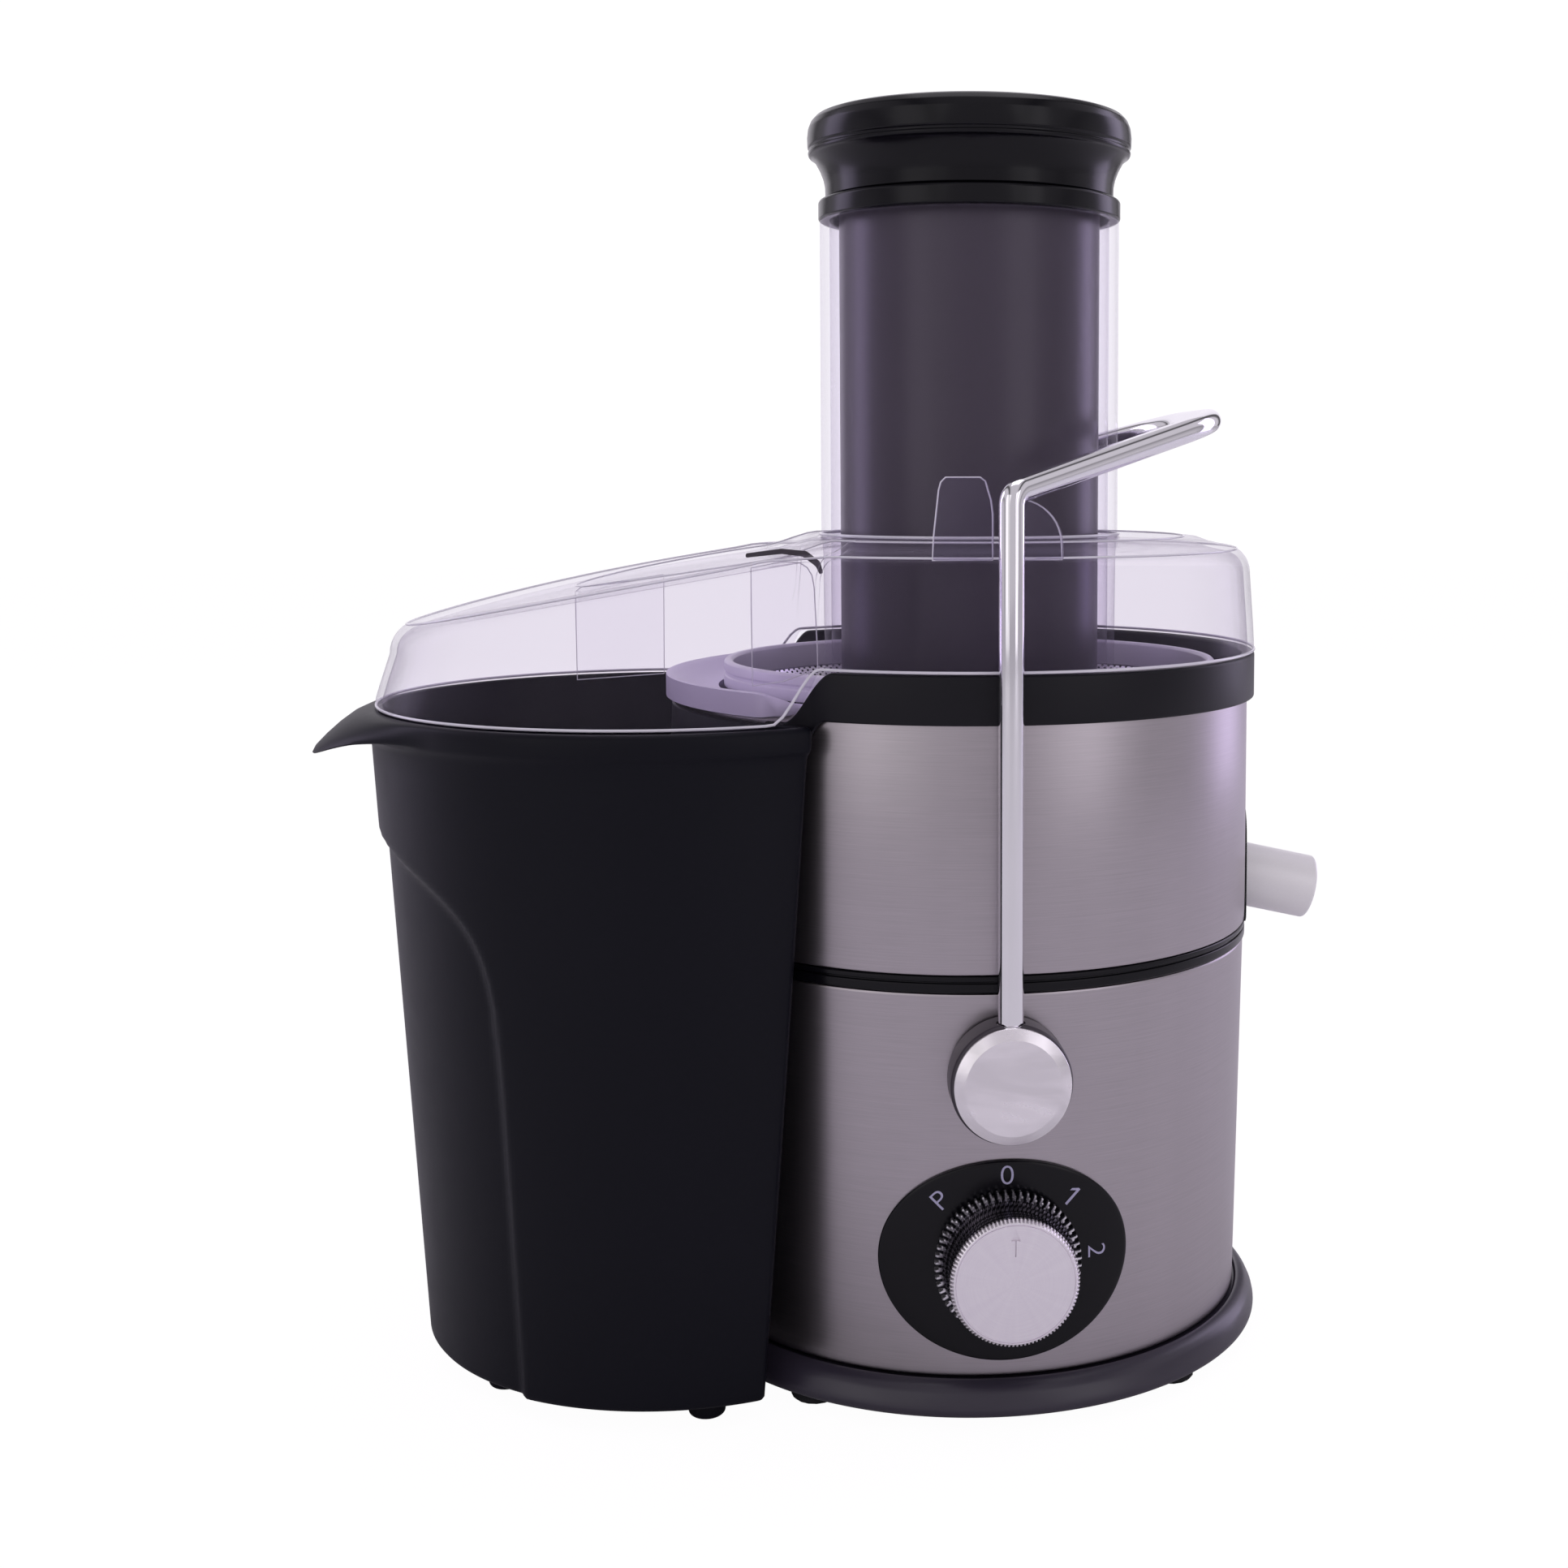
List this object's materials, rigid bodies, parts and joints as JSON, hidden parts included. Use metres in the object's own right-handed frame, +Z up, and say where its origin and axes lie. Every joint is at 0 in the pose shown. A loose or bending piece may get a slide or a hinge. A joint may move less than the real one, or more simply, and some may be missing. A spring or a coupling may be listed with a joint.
{
  "type": "centrifugal juicer",
  "caption": "Countertop juicer: clear lid with a wide feed chute and pusher, spinning filter basket over a motor, front dial, side spout, locking bail and a removable pulp bin.",
  "frame": {"origin": "on the floor, under the middle of the outline seen from above", "axes": "+Z up along the motor's axis, -Y towards the front with the dial, +X towards the juice spout, -X towards the pulp bin"},
  "size_m": [0.3098, 0.204, 0.3734],
  "materials": {
    "steel": "fine horizontal brushing",
    "chrome": "polished",
    "silver": "satin silver finish",
    "black": "satin black",
    "base": "satin, dark with a slight violet tint",
    "charcoal": "satin charcoal",
    "clear": "clear, polished",
    "grey": "satin grey",
    "white": "plain",
    "rubber": "matt",
    "copper": "enamelled copper wire and copper bars",
    "iron": "steel laminations and plain steel",
    "carbon": "pressed carbon"
  },
  "bodies": {
    "body": {"base_ring": "base", "bottom_plate": "black", "foot_front_left": "rubber", "foot_front_right": "rubber", "foot_rear_left": "rubber", "foot_rear_right": "rubber", "housing": "black", "lower_steel_panel": "steel", "mid_band": "black", "upper_steel_panel": "steel", "spout_surround": "black", "collar": "black", "juice_bowl": "grey", "juice_spout": "silver", "lid": "clear", "chute_ring": "black", "dial_plate": "black", "rotary_switch": "white", "interlock_switch": "black", "cord_gland": "rubber", "stator": "iron", "field_winding_upper": "copper", "field_winding_lower": "copper", "motor_bracket_upper": "iron", "motor_bracket_lower": "iron", "bearing_upper": "steel", "bearing_lower": "steel", "motor_bolt_left": "iron", "motor_bolt_right": "iron", "motor_mount_left": "rubber", "motor_mount_right": "rubber", "brush_holder_left": "white", "brush_holder_right": "white", "carbon_brush_left": "carbon", "carbon_brush_right": "carbon", "shaft_seal": "rubber"},
    "spindle": {"motor_shaft": "iron", "commutator": "copper", "armature_core": "iron", "cooling_fan": "white", "drive_coupling": "charcoal", "basket_hub": "charcoal", "grater_disc": "steel", "filter_basket": "steel", "basket_rim": "white"},
    "bail_body": {"bail": "chrome", "bail_hub_front": "charcoal", "bail_hub_rear": "charcoal", "bail_hub_cap_front": "chrome", "bail_hub_cap_rear": "chrome", "pivot_pin_front": "iron", "pivot_pin_rear": "iron"},
    "speed_knob": {"knob_body": "black", "knob_face": "silver", "knob_spindle": "iron"},
    "pusher": {"pusher_body": "charcoal", "pusher_cap": "black"},
    "pulp_container": {"pulp_bin": "black"}
  },
  "joints": [
    {"name": "spindle_spin", "type": "hinge", "parent": "body", "child": "spindle", "pos_m": [0.0431, 0, 0.1], "axis": [0, 0, 1], "continuous": true},
    {"name": "bail_swing", "type": "hinge", "parent": "body", "child": "bail_body", "pos_m": [0.0431, 0, 0.1], "axis": [0, 1, 0], "range_deg": [0, 90]},
    {"name": "knob_turn", "type": "hinge", "parent": "body", "child": "speed_knob", "pos_m": [0.0431, 0, 0.0475], "axis": [0, 1, 0], "range_deg": [-45, 90]},
    {"name": "pusher_lift", "type": "slide", "parent": "body", "child": "pusher", "axis": [0, 0, 1], "range_m": [0, 0.2]},
    {"name": "bin_pull", "type": "slide", "parent": "body", "child": "pulp_container", "axis": [-1, 0, 0], "range_m": [0, 0.15]}
  ]
}
